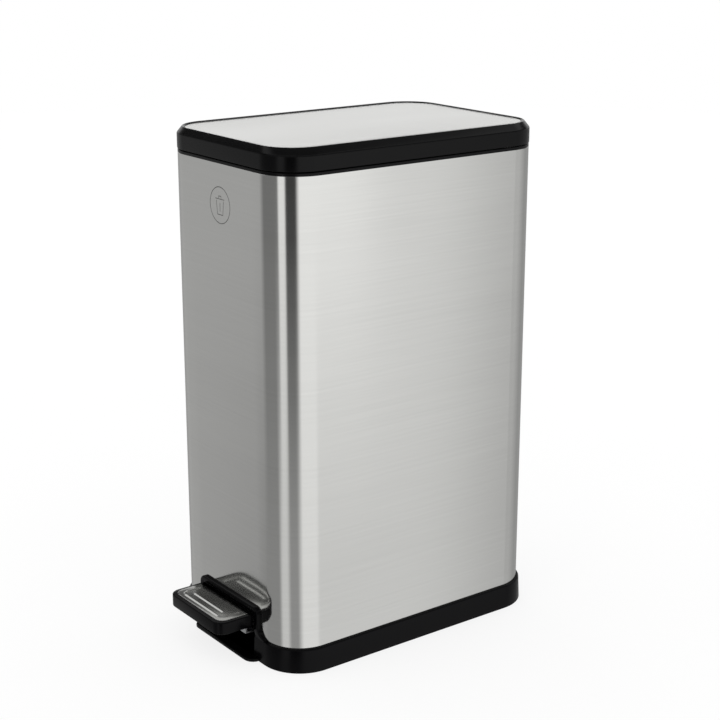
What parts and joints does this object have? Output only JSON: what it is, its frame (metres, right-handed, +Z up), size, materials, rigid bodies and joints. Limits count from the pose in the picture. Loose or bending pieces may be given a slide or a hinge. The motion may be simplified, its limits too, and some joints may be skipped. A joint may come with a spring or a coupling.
{
  "type": "pedal trash can",
  "caption": "Tall slim rectangular steel waste bin with rounded corners, hinged soft-close lid, foot pedal and inner bucket.",
  "frame": {"origin": "on the floor, at the middle of the steel shell in plan, on the flat underside of the base", "axes": "+Z up, -Y towards the front where the pedal is, X across the narrow side, +X to the right seen from the front"},
  "size_m": [0.278, 0.457, 0.65],
  "materials": {
    "base_plastic": "smooth black moulded plastic, slightly glossy",
    "lid_plastic": "satin black moulded plastic",
    "deck_plastic": "matt black moulded plastic",
    "pan_plastic": "matt dark grey moulded plastic",
    "bucket_plastic": "fine-grained dark grey polypropylene",
    "rubber": "black rubber",
    "brushed_shell": "fine brushed stainless steel, grain level round the can",
    "brushed_plate": "fine brushed stainless steel, grain across the lid",
    "tread_steel": "pressed dark grey steel with raised ridges",
    "zinc_steel": "zinc-plated sheet steel",
    "screw_steel": "bright plated steel",
    "guide_plastic": "natural acetal plastic",
    "damper_metal": "drawn aluminium"
  },
  "bodies": {
    "can": {"base_tray": "base_plastic", "anti_slip_pads": "rubber", "bucket_deck": "deck_plastic", "deck_screws": "screw_steel", "body_shell": "brushed_shell", "rim_collar": "lid_plastic", "inner_bucket": "bucket_plastic", "push_rod_guides": "guide_plastic", "damper_cylinder": "damper_metal", "damper_clamp": "guide_plastic", "lever_shaft": "screw_steel", "shaft_clips": "screw_steel"},
    "lid": {"lid_frame": "lid_plastic", "lid_top_plate": "brushed_plate", "lid_inner_pan": "pan_plastic", "lid_screws": "screw_steel", "lid_bumpers": "rubber", "lid_hinge_bracket_left": "zinc_steel", "lid_hinge_bracket_right": "zinc_steel", "hinge_pins": "screw_steel", "hinge_clips": "screw_steel", "lid_crank": "zinc_steel"},
    "pedal": {"pedal_lever": "zinc_steel", "pedal_body": "base_plastic", "pedal_tread": "tread_steel", "pedal_screws": "screw_steel"},
    "push_rod": {"push_rod": "zinc_steel", "crank_pin": "screw_steel", "damper_piston_rod": "screw_steel", "damper_arm": "zinc_steel"}
  },
  "joints": [
    {"name": "lid_hinge", "type": "hinge", "parent": "can", "child": "lid", "pos_m": [0, 0.191, 0.637], "axis": [-1, 0, 0], "range_deg": [0, 80]},
    {"name": "pedal_lever_pivot", "type": "hinge", "parent": "can", "child": "pedal", "pos_m": [0, 0, 0.0203], "axis": [1, 0, 0], "range_deg": [0, 5.94]},
    {"name": "push_rod_slide", "type": "slide", "parent": "can", "child": "push_rod", "axis": [0, 0, 1], "range_m": [0, 0.01866]}
  ],
  "couplings": [
    {"joint": "pedal_lever_pivot", "follows": "lid_hinge", "ratio": 0.07415},
    {"joint": "push_rod_slide", "follows": "lid_hinge", "m_per_rad": 0.013351}
  ]
}
